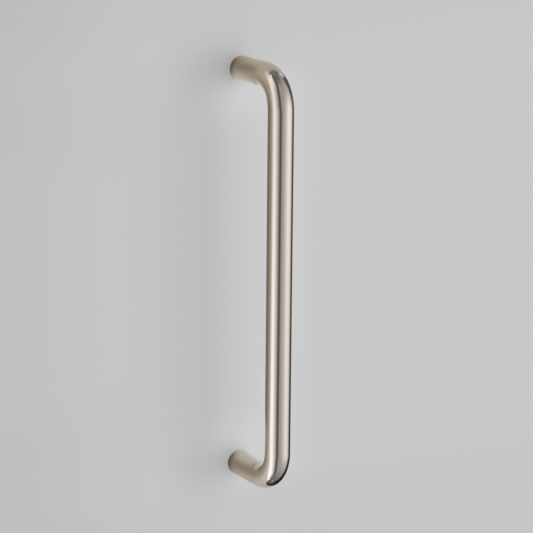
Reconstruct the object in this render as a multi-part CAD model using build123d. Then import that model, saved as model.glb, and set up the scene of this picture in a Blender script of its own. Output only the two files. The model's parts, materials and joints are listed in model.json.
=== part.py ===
"""Door pull handle: one round metal bar bent into a D, bolted on through the door.

The bar leaves the door square, turns through a quarter bend into the grip, and
turns back through a second bend. Each foot is faced off flat, its rim is eased,
and it is drilled and tapped from behind for a bolt that comes through the door.

Frame, in millimetres: +Z up along the grip, +Y into the door, so the handle
stands out towards -Y. The origin is on the door's face, midway between the
axes of the two feet.
"""

import math
import os

from build123d import *

# The bar and the D that it is bent into
BAR_DIAMETER = 19.0
FIXING_CENTRES = 305.0  # between the axes of the two feet
GRIP_STANDOFF = 57.5  # from the door's face to the axis of the grip
BEND_RATIO = 1.25  # bend radius at the bar's axis, in bar diameters

# Each foot's end, which sits on the door
RIM_EASE = 0.5  # radius on the outer edge of the foot's face

# The blind hole that each fixing bolt screws into: M8 coarse, left plain at its
# tapping size, because the thread is cut outwards into this wall
THREAD_MAJOR = 8.0
THREAD_PITCH = 1.25
THREAD_DEPTH = 20.0  # full thread that the bolt can use
RUN_OUT_TURNS = 2  # turns that the tap's lead cuts short below the full thread
DRILL_POINT_ANGLE = 118.0
MOUTH_CHAMFER = 0.5  # lead-in at 45 degrees

bar_radius = BAR_DIAMETER / 2
bend_radius = BEND_RATIO * BAR_DIAMETER
foot_height = FIXING_CENTRES / 2
straight_foot = GRIP_STANDOFF - bend_radius
tapping_radius = (THREAD_MAJOR - THREAD_PITCH) / 2
hole_depth = THREAD_DEPTH + RUN_OUT_TURNS * THREAD_PITCH


def bar_axis():
    """Centreline of the bar, from the upper foot's face to the lower foot's.

    Two feet square to the door, the grip parallel to it, and a quarter turn at
    each corner that is tangent to both.
    """
    corners = [
        (0, 0, foot_height),
        (0, -GRIP_STANDOFF, foot_height),
        (0, -GRIP_STANDOFF, -foot_height),
        (0, 0, -foot_height),
    ]
    return FilletPolyline(*corners, radius=bend_radius)


def bent_bar():
    """The round bar swept along its axis, with the rims of its two ends eased."""
    path = bar_axis()
    section = Plane(origin=path @ 0, z_dir=path % 0) * Circle(bar_radius)
    bar = sweep(section, path=path)
    door_side_rims = bar.edges().filter_by(GeomType.CIRCLE).group_by(Axis.Y)[-1]
    return fillet(door_side_rims, RIM_EASE)


def tapped_hole():
    """What drill, tap and countersink take out of one foot, about the Y axis.

    The profile is half of the hole's section: mouth chamfer, bored wall and the
    cone that the drill's point leaves. Its mouth is on the plane y = 0.
    """
    point_length = tapping_radius / math.tan(math.radians(DRILL_POINT_ANGLE / 2))
    half_section = Polyline(
        (0, 0),
        (tapping_radius + MOUTH_CHAMFER, 0),
        (tapping_radius, -MOUTH_CHAMFER),
        (tapping_radius, -hole_depth),
        (0, -hole_depth - point_length),
        close=True,
    )
    return revolve(make_face(half_section), axis=Axis.Y)


def pull_bar():
    """The finished handle: the bent bar with a tapped hole in each foot."""
    bar = bent_bar()
    for height in (foot_height, -foot_height):
        bar -= Pos(0, 0, height) * tapped_hole()
    return bar


os.makedirs("parts", exist_ok=True)
export_step(pull_bar(), "parts/pull_bar.step")
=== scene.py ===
"""Looks of a door pull handle: one bent nickel bar, tapped from behind, on a pale door.

Everything is in metres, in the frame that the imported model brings: +Z up along the
grip, +Y into the door, and the origin on the door's face midway between the feet.
The bar is worked out as a straight bar in (distance along it, radius, angle) and
then bent, so its rims, holes and threads are all part of one closed surface.
"""

import json
import math

import bmesh
import bpy
import numpy as np
from mathutils import Matrix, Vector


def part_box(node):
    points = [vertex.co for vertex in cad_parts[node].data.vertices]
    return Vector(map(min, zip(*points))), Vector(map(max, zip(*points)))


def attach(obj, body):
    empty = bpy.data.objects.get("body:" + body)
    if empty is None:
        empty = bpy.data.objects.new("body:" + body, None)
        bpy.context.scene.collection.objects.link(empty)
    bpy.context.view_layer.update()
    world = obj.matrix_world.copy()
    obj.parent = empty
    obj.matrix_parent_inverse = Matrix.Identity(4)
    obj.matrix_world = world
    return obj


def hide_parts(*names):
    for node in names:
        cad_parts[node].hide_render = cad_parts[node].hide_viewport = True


bl_info = {
    "name": "Door Pull Handle",
    "version": (1, 0, 0),
    "blender": (4, 5, 0),
    "location": "View3D > Sidebar > Door Pull",
    "description": "Builds a round-bar door pull in satin nickel, with its door and its light",
    "category": "Add Mesh",
}

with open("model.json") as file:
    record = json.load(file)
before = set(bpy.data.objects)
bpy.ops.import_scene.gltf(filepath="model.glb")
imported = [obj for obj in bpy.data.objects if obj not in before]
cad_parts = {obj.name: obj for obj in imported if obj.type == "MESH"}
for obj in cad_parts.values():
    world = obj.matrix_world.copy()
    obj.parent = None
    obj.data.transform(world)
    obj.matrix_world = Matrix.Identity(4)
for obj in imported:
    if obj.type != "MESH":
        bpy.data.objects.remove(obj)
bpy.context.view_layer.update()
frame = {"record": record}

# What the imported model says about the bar
low_corner, high_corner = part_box("pull_bar")
mounts = {mount["name"]: mount for mount in frame["record"]["mounts"]}
fixing_centres = mounts["fixing_bolts"]["dims"]["spacing_y_mm"] / 1000
tapping_radius = mounts["fixing_bolts"]["dims"]["hole_r_mm"] / 1000
overall_height = high_corner.z - low_corner.z
bar_diameter = round(overall_height - fixing_centres, 4)
grip_standoff = round(-low_corner.y - bar_diameter / 2, 4)


# Sizes and colours that a user would change


class BarSizes(bpy.types.PropertyGroup):
    """The bar and the D that it is bent into."""

    diameter: bpy.props.FloatProperty(
        name="Bar Diameter", description="Outside diameter of the round bar",
        default=bar_diameter, min=0.008, subtype="DISTANCE", unit="LENGTH")
    centres: bpy.props.FloatProperty(
        name="Fixing Centres", description="Distance between the axes of the two feet",
        default=fixing_centres, min=0.08, subtype="DISTANCE", unit="LENGTH")
    standoff: bpy.props.FloatProperty(
        name="Standoff", description="Distance from the door's face to the axis of the grip",
        default=grip_standoff, min=0.03, subtype="DISTANCE", unit="LENGTH")
    bend_ratio: bpy.props.FloatProperty(
        name="Bend Ratio", description="Bend radius at the bar's axis, in bar diameters",
        default=1.25, min=0.6)
    rim_ease: bpy.props.FloatProperty(
        name="Rim Ease", description="Radius on the outer edge of each foot's face",
        default=0.0005, min=0.0001, subtype="DISTANCE", unit="LENGTH")
    columns: bpy.props.IntProperty(
        name="Columns", description="Number of faces round the bar", default=120, min=24)
    rings_in_bend: bpy.props.IntProperty(
        name="Rings in Bend", description="Number of rings along each quarter bend",
        default=72, min=12)


class HoleSizes(bpy.types.PropertyGroup):
    """The tapped hole in each foot."""

    tapping_radius: bpy.props.FloatProperty(
        name="Tapping Radius", description="Radius that is drilled before the thread is cut",
        default=tapping_radius, min=0.001, subtype="DISTANCE", unit="LENGTH")
    major_radius: bpy.props.FloatProperty(
        name="Major Radius", description="Radius at the root of the thread's groove",
        default=0.004, min=0.001, subtype="DISTANCE", unit="LENGTH")
    pitch: bpy.props.FloatProperty(
        name="Pitch", description="Distance from one turn of the thread to the next",
        default=0.00125, min=0.0002, subtype="DISTANCE", unit="LENGTH")
    thread_depth: bpy.props.FloatProperty(
        name="Thread Depth", description="Depth of full thread that a bolt can use",
        default=0.020, min=0.002, subtype="DISTANCE", unit="LENGTH")
    run_out_turns: bpy.props.FloatProperty(
        name="Run-out Turns", description="Turns over which the tap's lead cuts ever less",
        default=2.0, min=0.5)
    mouth_chamfer: bpy.props.FloatProperty(
        name="Mouth Chamfer", description="Width of the 45 degree lead-in at the mouth",
        default=0.0005, min=0.0001, subtype="DISTANCE", unit="LENGTH")
    point_angle: bpy.props.FloatProperty(
        name="Drill Point", description="Full angle of the cone at the bottom of the hole",
        default=math.radians(118), subtype="ANGLE", unit="ROTATION")


class NickelFinish(bpy.types.PropertyGroup):
    """Satin nickel plating."""

    colour: bpy.props.FloatVectorProperty(
        name="Nickel", description="Colour that the plating gives to what it reflects",
        default=(0.66, 0.609, 0.526), min=0, max=1, size=3, subtype="COLOR")
    roughness: bpy.props.FloatProperty(
        name="Roughness", description="Mean roughness of the satin finish",
        default=0.075, min=0, max=1, subtype="FACTOR")
    brushing: bpy.props.FloatProperty(
        name="Brushing", description="Depth of the fine lines along the bar, in metres",
        default=0.0000015, min=0, precision=7)
    facing: bpy.props.FloatProperty(
        name="Facing Marks", description="Depth of the turned rings on the feet, in metres",
        default=0.000008, min=0, precision=7)


class StudioSettings(bpy.types.PropertyGroup):
    """The door, the floor, the light and the camera."""

    door_colour: bpy.props.FloatVectorProperty(
        name="Door", description="Colour of the painted door",
        default=(0.383, 0.384, 0.381), min=0, max=1, size=3, subtype="COLOR")
    floor_colour: bpy.props.FloatVectorProperty(
        name="Floor", description="Colour of the plain floor",
        default=(0.74, 0.74, 0.73), min=0, max=1, size=3, subtype="COLOR")
    key_level: bpy.props.FloatProperty(
        name="Key Level", description="Strength of the broad soft lamp in front and on the right",
        default=1.7, min=0)
    lens: bpy.props.FloatProperty(
        name="Lens", description="Focal length in millimetres, on a 36 mm wide sensor",
        default=142.29, min=10)


# Shader arithmetic


class Wire:
    """An output socket, or the result of an expression on some, that arithmetic adds nodes to."""

    def __init__(self, board, socket):
        self.board = board
        self.socket = socket

    def __add__(self, other):
        return self.board.math("ADD", self, other)

    def __radd__(self, other):
        return self.board.math("ADD", other, self)

    def __sub__(self, other):
        return self.board.math("SUBTRACT", self, other)

    def __rsub__(self, other):
        return self.board.math("SUBTRACT", other, self)

    def __mul__(self, other):
        return self.board.math("MULTIPLY", self, other)

    def __rmul__(self, other):
        return self.board.math("MULTIPLY", other, self)

    def __truediv__(self, other):
        return self.board.math("DIVIDE", self, other)

    def __neg__(self):
        return self.board.math("MULTIPLY", self, -1)


class Board:
    """The node tree of a material or the world, emptied, with one way to add a node to it."""

    def __init__(self, owner):
        owner.use_nodes = True
        self.tree = owner.node_tree
        self.tree.nodes.clear()

    def node(self, kind, settings=None, inputs=None):
        """Adds a node: its settings first, then values or wires into its inputs by name or number."""
        made = self.tree.nodes.new(kind)
        for name, value in (settings or {}).items():
            setattr(made, name, value)
        for name, value in (inputs or {}).items():
            if isinstance(value, Wire):
                self.tree.links.new(value.socket, made.inputs[name])
            else:
                made.inputs[name].default_value = value
        return made

    def out(self, node, name=0):
        return Wire(self, node.outputs[name])

    def place(self, space="Object"):
        """x, y and z of the point that is shaded or, in the world, of the direction of the light."""
        return self.split(self.out(self.node("ShaderNodeTexCoord"), space))

    def split(self, vector):
        parts = self.node("ShaderNodeSeparateXYZ", {}, {"Vector": vector})
        return [self.out(parts, axis) for axis in "XYZ"]

    def math(self, operation, *values):
        inputs = dict(enumerate(values))
        return self.out(self.node("ShaderNodeMath", {"operation": operation}, inputs))

    def rise(self, value, start, end, smooth=True):
        """0 before start and 1 after end, eased between them; end may lie below start."""
        kind = "SMOOTHSTEP" if smooth else "LINEAR"
        settings = {"interpolation_type": kind}
        inputs = {"Value": value, "From Min": start, "From Max": end}
        return self.out(self.node("ShaderNodeMapRange", settings, inputs))

    def within(self, value, start, full, fading, end):
        """0 before start, 1 from full to fading and 0 after end, eased between them."""
        return self.rise(value, start, full) * self.rise(value, end, fading)

    def bell(self, value, centre, width):
        """exp(-((value - centre) / width) squared)."""
        offset = (value - centre) / width
        return self.math("EXPONENT", -(offset * offset))

    def blend(self, factor, low, high):
        """low where factor is 0 and high where it is 1."""
        return low + (high - low) * factor

    def noise(self, x, y, z, detail, roughness):
        """Soft noise between 0 and 1, with swells about 1 wide in x, y and z."""
        place = self.node("ShaderNodeCombineXYZ", {}, {"X": x, "Y": y, "Z": z})
        inputs = {"Vector": self.out(place), "Scale": 1.0, "Detail": detail, "Roughness": roughness}
        return self.out(self.node("ShaderNodeTexNoise", {"noise_dimensions": "3D"}, inputs), "Fac")

    def mix_colour(self, factor, low, high):
        """low where factor is 0, high where it is 1, and on in step past both; low may be a wire."""
        settings = {"data_type": "RGBA", "clamp_factor": False}
        start = low if isinstance(low, Wire) else (*low, 1)
        inputs = {"Factor": factor, 6: start, 7: (*high, 1)}
        return self.out(self.node("ShaderNodeMix", settings, inputs), 2)

    def scale(self, colour, factor):
        inputs = {"Vector": colour, "Scale": factor}
        return self.out(self.node("ShaderNodeVectorMath", {"operation": "SCALE"}, inputs))


# The bar as one closed surface


def bend_radius(bar):
    """Radius of each bend, at the bar's axis."""
    return bar.bend_ratio * bar.diameter


def foot_length(bar):
    """Straight stretch of the axis from the door's face to the start of a bend."""
    return bar.standoff - bend_radius(bar)


def bar_length(bar):
    """Length of the bar's axis: two feet, two quarter circles and the grip between them."""
    grip_length = bar.centres - 2 * bend_radius(bar)
    return 2 * foot_length(bar) + math.pi * bend_radius(bar) + grip_length


def bend(along, radius, angle, bar):
    """Carries points of the straight bar to their place on the bent one.

    The upper half of the axis runs straight out from the door for a foot's length,
    round a quarter circle of the bend radius, and straight down to the middle of the
    grip. With turn as the angle gone through in the bend, a point stands off the
    axis by radius x cos(angle) along X and by radius x sin(angle) along the crown
    direction (0, -sin(turn), cos(turn)). The lower half is the upper one mirrored
    in Z.
    """
    curve = bend_radius(bar)
    foot = foot_length(bar)
    half = bar_length(bar) / 2
    side = np.where(along <= half, 1.0, -1.0)
    run = np.where(along <= half, along, 2 * half - along)
    turn = np.clip((run - foot) / curve, 0, math.pi / 2)
    on_foot = np.minimum(run, foot)
    on_grip = np.maximum(run - foot - curve * math.pi / 2, 0)
    axis_y = -on_foot - curve * np.sin(turn)
    axis_z = bar.centres / 2 - curve * (1 - np.cos(turn)) - on_grip
    crown = radius * np.sin(angle)
    x = radius * np.cos(angle)
    y = axis_y - crown * np.sin(turn)
    z = side * (axis_z + crown * np.cos(turn))
    return np.stack([x, y, z], axis=-1)


def skin_profile(bar):
    """Rows (along, radius) of the outside, from the upper foot's face to the lower's.

    Each rim is a quarter circle: along = ease x (1 - cos), radius short by
    ease x (1 - sin). Rings are close in the bends and far apart where it is straight.
    """
    rim_rings = 9
    foot_rings = 14
    grip_rings = 30
    radius = bar.diameter / 2
    foot = foot_length(bar)
    half = bar_length(bar) / 2
    bend_end = foot + bend_radius(bar) * math.pi / 2
    quarter = np.linspace(0, math.pi / 2, rim_rings)
    rim_along = bar.rim_ease * (1 - np.cos(quarter))
    rim_radius = radius - bar.rim_ease * (1 - np.sin(quarter))
    on_foot = np.linspace(bar.rim_ease, foot, foot_rings)[1:-1]
    on_bend = np.linspace(foot, bend_end, bar.rings_in_bend + 1)
    on_grip = np.linspace(bend_end, half, grip_rings)[1:]
    along = np.concatenate([rim_along, on_foot, on_bend, on_grip])
    full_radius = np.full(len(along) - rim_rings, radius)
    rows = np.concatenate([rim_radius, full_radius])
    lower_along = 2 * half - along[-2::-1]
    return np.concatenate([along, lower_along]), np.concatenate([rows, rows[-2::-1]])


def bored_depth(hole):
    """Depth of the drilled wall: the full thread, and the turns over which the tap runs out."""
    return hole.thread_depth + hole.run_out_turns * hole.pitch


def thread_form(hole):
    """Depth of the thread's groove, and the lengths in turns of a flank and of the crest's flat.

    The two flanks stand at sixty degrees to each other, and the root's flat is an
    eighth of a turn.
    """
    flank_angle = math.radians(30)
    root = 1 / 8
    groove_depth = hole.major_radius - hole.tapping_radius
    flank = groove_depth * math.tan(flank_angle) / hole.pitch
    crest = 1 - root - 2 * flank
    return groove_depth, flank, crest


def hole_wall(depth, angle, hand, hole):
    """Radius of the threaded wall at a depth from the mouth and an angle round the hole.

    One turn is a V cut outwards between two flats: the drilled wall's and the
    root's. The phase, the share of a turn gone by, is depth / pitch minus
    hand x angle / one turn. The groove is never deeper than the tap's lead lets it
    be near its end, and never shallower than the chamfer at the mouth.
    """
    groove_depth, flank, crest = thread_form(hole)
    phase = (depth / hole.pitch - hand * angle / (2 * math.pi)) % 1.0
    groove = np.interp(phase, [0, crest, crest + flank, 1 - flank, 1], [0, 0, 1, 1, 0])
    lead = np.clip((bored_depth(hole) - depth) / (hole.run_out_turns * hole.pitch), 0, 1)
    thread = hole.tapping_radius + groove_depth * np.minimum(groove, lead)
    chamfer = hole.tapping_radius + hole.mouth_chamfer - depth
    return np.maximum(thread, chamfer)


def hole_rows(angle, hand, hole):
    """Rows (depth, radius) from the drill's point out to the mouth.

    The rows on the thread are helices, so that its edges lie along them: row depth =
    start + hand x pitch x angle / one turn, held between the chamfer and the bottom.
    """
    mouth_rings = 5
    cone_rings = 7
    _, flank, crest = thread_form(hole)
    thirds = flank * np.arange(4) / 3
    steps = np.concatenate([[0], crest + thirds, 1 - thirds[:0:-1]])
    bottom = bored_depth(hole)
    turns = np.arange(-2, math.ceil(bottom / hole.pitch) + 2)
    starts = (turns[:, None] + steps[None, :]).ravel() * hole.pitch
    skew = hand * hole.pitch * angle / (2 * math.pi)
    helices = np.clip(starts[::-1, None] + skew[None, :], hole.mouth_chamfer, bottom)
    flat = 0 * angle[None, :]
    mouth = np.linspace(hole.mouth_chamfer, 0, mouth_rings)[1:, None] + flat
    depth = np.concatenate([helices, mouth])
    radius = hole_wall(depth, angle[None, :], hand, hole)
    point_length = hole.tapping_radius / math.tan(hole.point_angle / 2)
    cone = np.linspace(0, 1, cone_rings)[:-1, None] + flat
    cone_depth = bottom + point_length * (1 - cone)
    cone_radius = hole.tapping_radius * cone
    return np.concatenate([cone_depth, depth]), np.concatenate([cone_radius, radius])


def bar_rows(bar, hole):
    """The whole closed profile: upper hole inside out, face, outside, face, lower hole outside in."""
    face_rings = 6
    angle = np.linspace(0, 2 * math.pi, bar.columns + 1)
    flat = 0 * angle[None, :]
    total = bar_length(bar)
    upper_along, upper_radius = hole_rows(angle, 1, hole)
    lower_along, lower_radius = hole_rows(angle, -1, hole)
    skin_along, skin_radius = skin_profile(bar)
    face_steps = np.linspace(0, 1, face_rings)[1:-1, None]
    edge_radius = bar.diameter / 2 - bar.rim_ease
    upper_face = upper_radius[-1] + face_steps * (edge_radius - upper_radius[-1])
    lower_face = lower_radius[-1] + face_steps * (edge_radius - lower_radius[-1])
    along = np.concatenate([
        upper_along, 0 * upper_face, skin_along[:, None] + flat,
        total + 0 * lower_face, total - lower_along[::-1]])
    radius = np.concatenate([
        upper_radius, upper_face, skin_radius[:, None] + flat,
        lower_face[::-1], lower_radius[::-1]])
    return along, radius, np.broadcast_to(angle, along.shape)


def grid_mesh(name, points, layers):
    """Mesh of four-sided faces on a grid of points, closed by merging the points that coincide.

    The grid's first and last columns are the same line, and its first and last rows
    are each one point. layers holds a vector for each point, by name, kept as an
    attribute.
    """
    merge_distance = 1e-7
    sharp_angle = math.radians(28)
    rows, columns = points.shape[:2]
    index = np.arange(rows * columns).reshape(rows, columns)
    quads = np.stack([index[:-1, :-1], index[:-1, 1:], index[1:, 1:], index[1:, :-1]], axis=-1)
    mesh = bpy.data.meshes.new(name)
    mesh.from_pydata(points.reshape(-1, 3), [], quads.reshape(-1, 4))
    for layer, values in layers.items():
        attribute = mesh.attributes.new(layer, "FLOAT_VECTOR", "POINT")
        attribute.data.foreach_set("vector", values.reshape(-1).astype(np.float32))
    work = bmesh.new()
    work.from_mesh(mesh)
    bmesh.ops.remove_doubles(work, verts=work.verts, dist=merge_distance)
    bmesh.ops.recalc_face_normals(work, faces=work.faces)
    if work.calc_volume(signed=True) < 0:
        bmesh.ops.reverse_faces(work, faces=work.faces)
    open_edges = sum(1 for edge in work.edges if len(edge.link_faces) != 2)
    if open_edges:
        raise RuntimeError(f"{name} isn't closed: {open_edges} open edges")
    work.to_mesh(mesh)
    work.free()
    mesh.shade_smooth()
    mesh.set_sharp_from_angle(angle=sharp_angle)
    return mesh


# Materials


def satin_nickel(finish, bar):
    """Nickel plate over fine lines that run along the bar, with turned rings on the feet's faces.

    "straight" is the place that a point had before the bar was bent, so the lines
    follow the bends. Lines are noise drawn out along the bar, with 9000 swells a
    metre across it and 180 along it, and clouds are the same on a larger scale. Rings
    are a sine of the distance from the foot's axis, and show only on the flat faces.
    """
    material = bpy.data.materials.new("satin nickel")
    board = Board(material)
    straight = board.node("ShaderNodeAttribute", {"attribute_name": "straight"})
    x, y, along = board.split(board.out(straight, "Vector"))
    lines = board.noise(x * 9000, y * 9000, along * 180, detail=3.0, roughness=0.6)
    clouds = board.noise(x * 260, y * 260, along * 22, detail=2.0, roughness=0.5)

    ring_spacing = 0.00035
    hair = 1e-5
    reach = board.math("SQRT", x * x + y * y)
    rings = board.math("SINE", reach * (2 * math.pi / ring_spacing))
    half = bar_length(bar) / 2
    edge_radius = bar.diameter / 2 - bar.rim_ease
    at_end = board.rise(board.math("ABSOLUTE", along - half), half - hair, half - 0.1 * hair)
    on_face = at_end * board.rise(reach, edge_radius + hair, edge_radius - hair)

    cloud_colour = tuple(0.965 * part for part in finish.colour)
    colour = board.mix_colour(board.rise(clouds, 0.3, 0.7), cloud_colour, finish.colour)
    unevenness = 0.06 * (lines - 0.5) + 0.03 * (clouds - 0.5)
    roughness = finish.roughness + unevenness + 0.12 * on_face
    height = lines * finish.brushing * (1 - on_face) + rings * on_face * finish.facing
    bump = board.node("ShaderNodeBump", {}, {"Strength": 1.0, "Distance": 1.0, "Height": height})
    shader = board.node("ShaderNodeBsdfPrincipled", {}, {
        "Base Color": colour, "Metallic": 1.0, "Roughness": roughness, "Normal": board.out(bump)})
    board.node("ShaderNodeOutputMaterial", {}, {"Surface": board.out(shader)})
    return material


def one_sided(board, shader, hidden):
    """Joins a stage surface's shader to its output, see-through from behind and where hidden is 1."""
    behind = board.out(board.node("ShaderNodeNewGeometry"), "Backfacing")
    clear = board.out(board.node("ShaderNodeBsdfTransparent"))
    away = board.math("MAXIMUM", behind, hidden)
    mixed = board.node("ShaderNodeMixShader", {}, {0: away, 1: board.out(shader), 2: clear})
    board.node("ShaderNodeOutputMaterial", {}, {"Surface": board.out(mixed)})


def door_paint(studio, bar):
    """Satin paint, with an opening under each foot so that light reaches its tapped hole.

    Its level is a sum of soft patches of painted light and shade, placed in metres:
    painted shade a little darker far to the left, past the feet and in the corners on
    the left, painted light where the grip and the feet throw light back on it, and a
    painted shadow on the left of each foot. The paint also glows a little with its own
    colour, a painted light that softens the shadows on it.
    """
    material = bpy.data.materials.new("door paint")
    board = Board(material)
    x, _, z = board.place()
    height = board.math("ABSOLUTE", z)
    over_foot = height - bar.centres / 2
    reach = board.math("SQRT", x * x + over_foot * over_foot)
    opening = board.math("LESS_THAN", reach, bar.diameter / 2 - bar.rim_ease)

    # Painted light and shade: lighter to the right, darker past the feet and in the corners on the
    # left.
    side = 0.065 * board.rise(x, -0.19, -0.09)
    painted_shade_past_feet = 0.03 * board.rise(height, 0.155, 0.20)
    corners = 0.02 * board.rise(x, -0.07, -0.10) * board.rise(height, 0.06, 0.12)
    # Painted light, as if thrown back on the door by the grip and the feet.
    painted_light_by_grip = 0.08 * board.within(x, -0.032, -0.002, 0.03, 0.085)
    painted_light_by_grip = painted_light_by_grip * board.within(z, -0.19, -0.155, 0.135, 0.160)
    painted_light_by_feet = 0.10 * board.within(x, -0.045, -0.010, 0.0, 0.035)
    painted_light_by_feet = painted_light_by_feet * board.bell(over_foot, -0.0185, 0.020)
    # Painted shadow on the left of each foot.
    shade = 0.06 * board.within(x, -0.07, -0.03, -0.01, 0.0) * board.bell(over_foot, 0.0, 0.014)
    level = 0.93 + side - painted_shade_past_feet - corners + painted_light_by_grip + painted_light_by_feet - shade
    colour = board.scale(studio.door_colour, level)
    # The paint glows with its own colour: painted light that softens the shadows on the door.
    shader = board.node("ShaderNodeBsdfPrincipled", {}, {
        "Base Color": colour, "Roughness": 0.4, "Emission Color": colour, "Emission Strength": 0.56})
    one_sided(board, shader, opening)
    return material


def floor_paint(studio):
    """Plain matt floor, with a little light of its own."""
    material = bpy.data.materials.new("floor paint")
    board = Board(material)
    shader = board.node("ShaderNodeBsdfPrincipled", {}, {
        "Base Color": (*studio.floor_colour, 1), "Roughness": 0.9,
        "Emission Color": (*studio.floor_colour, 1), "Emission Strength": 0.25})
    one_sided(board, shader, 0.0)
    return material


def card_window(board, x):
    """The window's light on the card: none beside the bar, and ever more to the left."""
    near = 0.68 * board.rise(x, -0.03, -0.30, smooth=False) + 0.06 * board.rise(x, -0.03, -0.11)
    return near + 0.24 * board.rise(x, -0.30, -0.70)


def card_between_feet(board, x, z, window):
    """Dim beside the bar, dimmer still on its right, and lit by the window on its left."""
    toward_feet = board.rise(board.math("ABSOLUTE", z), 0.03, 0.12)
    right = 0.05 * board.rise(x, 0.03, 0.11)
    right_of_grip = 0.08 * board.rise(x, -0.02, 0.07) * board.within(z, -0.17, -0.14, 0.08, 0.12)
    return 0.23 + window * (1 + 0.13 * toward_feet) - right - right_of_grip


def card_above(board, x, z, window, over_flag):
    """Above the upper foot: grey that fades upwards, lighter on the left, over a dark flag.

    over_flag is the height over the flag's edge, which climbs to the right. Just over
    it a band of light widens to the right like a fan: a bell of over_flag / x. One
    brighter and one dimmer patch lie on the left.
    """
    fade = board.rise(z, 0.25, 0.45)
    near = (0.24 + window) * board.rise(z, 0.30, 0.17)
    grey = board.math("MAXIMUM", near, 0.57 - 0.34 * fade)
    left = board.rise(x + 0.24 * (z - 0.30), -0.07, -0.19) * board.rise(z, 0.17, 0.30)
    bright = 0.26 * board.bell(x, -0.095, 0.035) * board.bell(z, 0.27, 0.065)
    dim = 0.12 * board.bell(x, -0.13, 0.055) * board.bell(z, 0.18, 0.03)
    fan = 0.56 * board.bell(over_flag / x, 0.42, 0.40) * board.rise(x, 0.09, 0.22)
    open_card = grey + (0.6 + 0.4 * fade) * left + bright - dim + fan
    # Painted dark flag in the reflection: the card's light drops to 0.13 here.
    flag = board.rise(over_flag, 0.01, -0.015)
    return board.blend(flag, open_card, 0.13)


def card_below(board, x, z):
    """Below the lower foot: bright, and brighter to the left, with a black flag that has two edges.

    One edge is upright and stands on the right. The other starts lower down and
    slopes. The flag has a faint sheen low down. The bright part has two brighter
    patches on the left, and two hollows nearer the bar.
    """
    # Painted black flag in the reflection, with a painted sheen low down.
    low_flag = board.rise(z - 0.64 * x, -0.247, -0.282) * board.rise(x - 0.37 * z, 0.033, 0.073)
    flag = board.math("MAXIMUM", low_flag, board.rise(x, 0.035, 0.055))
    sheen = 0.28 * board.rise(z + 0.5 * x, -0.30, -0.46) * board.bell(x, -0.005, 0.085)

    bright = 0.42 * board.within(x, -0.36, -0.22, -0.12, -0.05) * board.rise(z, -0.27, -0.36)
    far_bright = 0.10 * board.rise(x, -0.16, -0.30) * board.rise(z, -0.25, -0.30)
    hollow = 0.11 * board.bell(x, -0.125, 0.035) * board.rise(z, -0.34, -0.27)
    near_hollow = 0.06 * board.rise(x, -0.02, -0.05) * board.rise(z, -0.225, -0.185)
    ramp = 0.60 + 0.75 * board.rise(x, 0.0, -0.30, smooth=False)
    open_card = ramp + bright + far_bright - hollow - near_hollow
    return board.blend(flag, open_card, 0.025 + sheen)


def door_under_upper(board, x, over_upper):
    """How far a place on the card is the lit door just under the upper foot, from 0 to 1."""
    return board.within(over_upper, -0.0310, -0.0225, -0.0145, 0.0125) * board.rise(x, -0.045, 0.002)


def door_over_lower(board, x, over_lower):
    """The same for the lit door just over the lower foot, where the patch's edges slope."""
    edges = board.rise(over_lower + 0.3 * x, -0.0035, 0.0165)
    edges = edges * board.rise(over_lower - 0.3 * x, 0.0385, 0.0295)
    return edges * board.rise(x, -0.038, 0.0) * (0.84 + 0.32 * board.rise(x, 0.0, 0.025))


def beside_feet(board, x, over_upper, over_lower):
    """Fainter light on the door at the left of each foot and under the lower one."""
    upper_left = 0.15 * board.bell(x, -0.035, 0.015) * board.bell(over_upper, -0.0015, 0.013)
    lower_left = 0.09 * board.bell(x, -0.058, 0.035) * board.bell(over_lower, 0.0135, 0.016)
    lower_near = 0.05 * board.bell(x, -0.025, 0.009) * board.bell(over_lower, 0.0115, 0.008)
    under_lower = 0.07 * board.rise(x, -0.045, -0.010) * board.bell(over_lower, -0.0145, 0.009)
    return upper_left + lower_left + lower_near + under_lower


def painted_contact_shadow(board, x, over_foot, bar):
    """Dark line on the left of a foot, where its rim meets the door."""
    # Painted shadow: the dark line is shade where the rim meets the door, as the metal sees it.
    off_rim = board.math("SQRT", x * x + over_foot * over_foot) - bar.diameter / 2
    left = board.rise(x, -0.001, -0.009) * board.rise(over_foot, -0.009, 0.0)
    return 0.65 * left * board.bell(off_rim, 0.0, 0.0032)


def card_warmth(board, x, z, level, over_flag, under_upper):
    """How warm the card's light is: where it is dim, in the fan and above the upper foot.

    It is less warm in a grey patch on the right above the upper foot, and on the lit
    door under that foot.
    """
    shift = 0.15 * board.within(z, -0.12, 0.0, 0.14, 0.165)
    dim = board.rise(level - shift, 0.8, 0.3) * board.within(z, -0.25, -0.17, 0.17, 0.24)
    fan = 0.6 * board.bell(over_flag, 0.05, 0.08) * board.rise(x, 0.09, 0.20)
    above = 0.36 * board.within(z, 0.13, 0.20, 0.27, 0.38)
    grey = board.within(x, 0.0, 0.03, 0.08, 0.12) * board.within(z, 0.14, 0.165, 0.22, 0.27)
    return (dim + fan + above) * (1 - 0.8 * grey) * (1 - 0.85 * under_upper)


def card_tint(board, x, z, warmth):
    """Colour of the card's light: by its warmth, pink on the right and brown under the lower foot."""
    neutral = (1.0, 0.99, 1.01)
    tan = (1.0, 0.89, 0.77)
    pink = (1.0, 0.79, 0.68)
    brown = (1.0, 0.74, 0.58)
    tint = board.mix_colour(warmth, neutral, tan)
    on_right = board.rise(x, 0.04, 0.09) * board.within(z, -0.24, -0.18, 0.06, 0.14)
    tint = board.mix_colour(on_right, tint, pink)
    under_foot = board.rise(x, 0.02, 0.05) * board.within(z, -0.31, -0.28, -0.20, -0.17)
    return board.mix_colour(under_foot, tint, brown)


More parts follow.
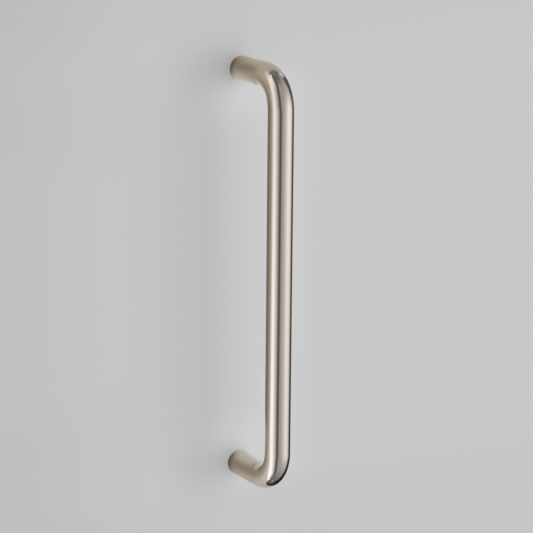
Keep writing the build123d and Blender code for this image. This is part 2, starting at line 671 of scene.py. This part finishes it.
def mirror_card(bar):
    """What stands behind the handle in its own reflections, as light on a card that only it sees.

    The card is a painted reflection, light of its own that only the metal sees. Its
    level is a sum and a blend of soft ramps and bells. Places on it are in metres,
    and a level of 1 shows as white. It has a part between the feet, one above and one
    below, both with a painted dark flag, and near each foot a painted reflection of
    the lit door and a painted shadow where the foot's rim meets the door.
    """
    material = bpy.data.materials.new("mirror card")
    board = Board(material)
    x, _, z = board.place()
    over_upper = z - bar.centres / 2
    over_lower = z + bar.centres / 2
    over_flag = z - 0.93 * x - 0.097

    window = card_window(board, x)
    between = card_between_feet(board, x, z, window)
    above = card_above(board, x, z, window, over_flag)
    below = card_below(board, x, z)
    upper_seam = board.rise(z - 0.02 * board.bell(x, -0.02, 0.02), 0.13, 0.175)
    lower_seam = board.rise(z, -0.13, -0.20)
    level = board.blend(lower_seam, board.blend(upper_seam, between, above), below)

    under_upper = door_under_upper(board, x, over_upper)
    # Painted reflection of the lit door beside each foot.
    lit_door = 0.52 * (under_upper + door_over_lower(board, x, over_lower))
    lit_door = lit_door * board.rise(x, 0.06, 0.035)
    painted_door_light = lit_door + beside_feet(board, x, over_upper, over_lower)
    # Painted shadow where each foot's rim meets the door, as the metal sees it.
    contact_shadow = painted_contact_shadow(board, x, over_upper, bar) + painted_contact_shadow(board, x, over_lower, bar)
    grey = board.within(x, 0.0, 0.03, 0.045, 0.06) * board.within(z, 0.14, 0.165, 0.185, 0.20)
    level = (level + painted_door_light) * (1 - contact_shadow) + 0.06 * grey

    warmth = card_warmth(board, x, z, level, over_flag, under_upper)
    cool = board.rise(z, -0.26, -0.38) * (0.45 + 0.9 * board.rise(x, -0.25, -0.08))
    cool = cool * board.rise(x, 0.15, 0.10)
    tint = card_tint(board, x, z, warmth - cool)
    shader = board.node("ShaderNodeBsdfPrincipled", {}, {
        "Base Color": (0, 0, 0, 1), "Specular IOR Level": 0.0,
        "Emission Color": board.scale(tint, level * (1 - 0.1 * cool)), "Emission Strength": 1.0})
    one_sided(board, shader, 0.0)
    return material


# Stage


def stage_plane(name, corners, material):
    """A flat four-sided surface; its corners go anticlockwise as seen from its front."""
    mesh = bpy.data.meshes.new(name)
    mesh.from_pydata(corners, [], [(0, 1, 2, 3)])
    mesh.materials.append(material)
    plane = bpy.data.objects.new(name, mesh)
    bpy.context.scene.collection.objects.link(plane)
    return plane


def upright(left, right, bottom, top, y):
    """Corners of an upright plane that faces out from the door."""
    return [(left, y, bottom), (right, y, bottom), (right, y, top), (left, y, top)]


def window_light(board, azimuth, elevation, lean):
    """A tall window on the left, brightest far left and low down, with a slanted top.

    Its near edge is bowed: it moves left by bow x elevation squared.
    """
    bow = 0.0015708
    bowed = azimuth + bow * elevation * elevation - 5 * lean
    across = board.rise(bowed, -38.5, -84.5, smooth=False) * board.rise(azimuth, -135, -100)
    slanted = elevation + 0.15 * (azimuth + 75)
    upright_part = board.rise(elevation, -73, -52) * board.rise(slanted, 68, 53)
    return across * upright_part * (1.12 + 0.40 * board.rise(elevation, -7, -24))


def screen_light(board, azimuth, elevation, lean):
    """A wide dim screen on the right, with a bright oval in it."""
    across = board.within(azimuth - 6 * lean, -38, -18, 68, 98)
    upright_part = board.within(elevation, -88, -50, 52, 76)
    oval = board.bell(azimuth, 48, 36) * board.bell(elevation, -5, 31)
    return across * (0.37 * upright_part + 0.81 * oval)


def light_tint(board, azimuth, elevation, light):
    """Colour of the light: pinkish where dim, bluish low on the left, pinkish at the poles."""
    dim_colour = (1.0, 0.90, 0.90)
    bright_colour = (1.0, 1.0, 1.045)
    blue = (1.0, 1.01, 1.13)
    pole_colour = (1.0, 0.915, 0.98)
    low_right = board.rise(azimuth, 70, 90) * board.rise(elevation, -45, -25)
    bright = board.rise(light, 0.1, 0.75) + 0.4 * board.rise(elevation, 62, 72) - 0.6 * low_right
    colour = board.mix_colour(bright, dim_colour, bright_colour)
    low_left = board.rise(elevation, -8, -48) * board.rise(azimuth, -42, -60)
    colour = board.mix_colour(low_left, colour, blue)
    pole = board.rise(elevation, 66, 78) + board.rise(elevation, -58, -70)
    return board.mix_colour(pole, colour, pole_colour)


def studio_light(world):
    """Light from all round, by its direction: azimuth from straight out, and elevation, in degrees.

    A tall window stands on the left, and a wide dim screen with a bright oval in it
    on the right. The dark gap between them, which leans near an elevation of -11, is
    where the camera stands. There is faint light overhead, underfoot and behind the
    door, and a glint high up on the far right. A strength of 1 shows as white. The
    camera itself sees a plain pale backdrop.
    """
    backdrop_colour = (0.68, 0.68, 0.675, 1)
    board = Board(world)
    x, y, z = board.place("Generated")
    azimuth = board.math("DEGREES", board.math("ARCTAN2", x, -y))
    elevation = board.math("DEGREES", board.math("ARCSINE", z))
    lean = board.bell(elevation, -11, 10)
    window = window_light(board, azimuth, elevation, lean)
    screen = screen_light(board, azimuth, elevation, lean)
    caps = 0.10 * board.rise(elevation, 56, 74) + 0.15 * board.rise(elevation, -56, -76)
    behind = 0.4 * board.rise(board.math("ABSOLUTE", azimuth), 100, 150)
    glint = 0.28 * board.bell(azimuth, 100, 22) * board.bell(elevation, 57, 14)
    light = 0.10 + window + screen + caps + behind + glint
    colour = light_tint(board, azimuth, elevation, light)
    lit = board.node("ShaderNodeBackground", {}, {"Color": colour, "Strength": light})
    backdrop = board.node("ShaderNodeBackground", {}, {"Color": backdrop_colour, "Strength": 1.0})
    seen = board.out(board.node("ShaderNodeLightPath"), "Is Camera Ray")
    mixed = board.node("ShaderNodeMixShader", {}, {0: seen, 1: board.out(lit), 2: board.out(backdrop)})
    board.node("ShaderNodeOutputWorld", {}, {"Surface": board.out(mixed)})


def soft_lamp(studio):
    """A broad light in front, on the right and a little below, for the feet's shadows on the door."""
    turn = math.radians(55)
    lift = math.radians(-20)
    data = bpy.data.lights.new("key", "SUN")
    data.angle = math.radians(130)
    data.energy = studio.key_level
    lamp = bpy.data.objects.new("key", data)
    facing = Matrix.Rotation(turn, 3, "Z") @ Matrix.Rotation(math.pi / 2 - lift, 3, "X")
    lamp.rotation_euler = facing.to_euler()
    lamp.visible_glossy = False
    bpy.context.scene.collection.objects.link(lamp)


def photo_camera(studio):
    """The camera, in front of the door, to the left of the handle and above its middle."""
    turn = 0.54439
    tilt = 0.23148
    roll = 0.00891
    data = bpy.data.cameras.new("camera")
    data.sensor_width = 36
    data.lens = studio.lens
    camera = bpy.data.objects.new("camera", data)
    heading = Matrix.Rotation(-turn, 3, "Z")
    pitch = Matrix.Rotation(math.pi / 2 - tilt, 3, "X")
    camera.rotation_euler = (heading @ pitch @ Matrix.Rotation(roll, 3, "Z")).to_euler()
    camera.location = (-0.78442, -1.33502, 0.36727)
    bpy.context.scene.collection.objects.link(camera)
    bpy.context.scene.camera = camera


# Operators


class DOORPULL_OT_bar(bpy.types.Operator):
    """Build the nickel bar with its bends, eased rims and tapped holes"""

    bl_idname = "door_pull.bar"
    bl_label = "Build Bar"

    def execute(self, context):
        scene = context.scene
        bar, hole = scene.door_pull_bar, scene.door_pull_hole
        along, radius, angle = bar_rows(bar, hole)
        points = bend(along, radius, angle, bar)
        straight = np.stack([radius * np.cos(angle), radius * np.sin(angle), along], axis=-1)
        mesh = grid_mesh("nickel_bar", points, {"straight": straight})
        mesh.materials.append(satin_nickel(scene.door_pull_nickel, bar))
        piece = bpy.data.objects.new("nickel_bar", mesh)
        scene.collection.objects.link(piece)
        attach(piece, "root")
        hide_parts("pull_bar")
        return {"FINISHED"}


class DOORPULL_OT_stage(bpy.types.Operator):
    """Set up the door, the floor, the light and the camera"""

    bl_idname = "door_pull.stage"
    bl_label = "Set Up Stage"

    def execute(self, context):
        scene = context.scene
        studio, bar = scene.door_pull_studio, scene.door_pull_bar
        bottom = -0.9
        top = 1.2
        half_width = 1.6
        floor_reach = 4
        card_gap = 0.0003
        door_corners = upright(-half_width, half_width, bottom, top, 0.0)
        stage_plane("door", door_corners, door_paint(studio, bar))
        floor_corners = [
            (-floor_reach, -floor_reach, bottom), (floor_reach, -floor_reach, bottom),
            (floor_reach, floor_reach, bottom), (-floor_reach, floor_reach, bottom)]
        floor = stage_plane("floor", floor_corners, floor_paint(studio))
        floor.visible_glossy = False
        floor.visible_diffuse = False
        card_corners = upright(-half_width, half_width, bottom, top, -card_gap)
        card = stage_plane("mirror card", card_corners, mirror_card(bar))
        card.visible_camera = False
        card.visible_diffuse = False
        card.visible_shadow = False
        scene.world = bpy.data.worlds.new("studio")
        studio_light(scene.world)
        soft_lamp(studio)
        photo_camera(studio)
        scene.view_settings.view_transform = "Standard"
        return {"FINISHED"}


class DOORPULL_PT_panel(bpy.types.Panel):
    """Sizes, finish and stage of the door pull"""

    bl_label = "Door Pull"
    bl_idname = "DOORPULL_PT_panel"
    bl_space_type = "VIEW_3D"
    bl_region_type = "UI"
    bl_category = "Door Pull"

    def draw(self, context):
        for group, operator in PANEL_ROWS:
            box = self.layout.box()
            settings = getattr(context.scene, group)
            for name in settings.__annotations__:
                box.prop(settings, name)
            if operator:
                box.operator(operator)


GROUPS = {
    "door_pull_bar": BarSizes,
    "door_pull_hole": HoleSizes,
    "door_pull_nickel": NickelFinish,
    "door_pull_studio": StudioSettings,
}
PANEL_ROWS = [
    ("door_pull_bar", None),
    ("door_pull_hole", None),
    ("door_pull_nickel", "door_pull.bar"),
    ("door_pull_studio", "door_pull.stage"),
]
CLASSES = [*GROUPS.values(), DOORPULL_OT_bar, DOORPULL_OT_stage, DOORPULL_PT_panel]


def register():
    for cls in CLASSES:
        bpy.utils.register_class(cls)
    for name, group in GROUPS.items():
        setattr(bpy.types.Scene, name, bpy.props.PointerProperty(type=group))


def unregister():
    for name in GROUPS:
        delattr(bpy.types.Scene, name)
    for cls in reversed(CLASSES):
        bpy.utils.unregister_class(cls)


def main():
    register()
    bpy.ops.door_pull.bar()
    bpy.ops.door_pull.stage()


if __name__ == "__main__":
    main()
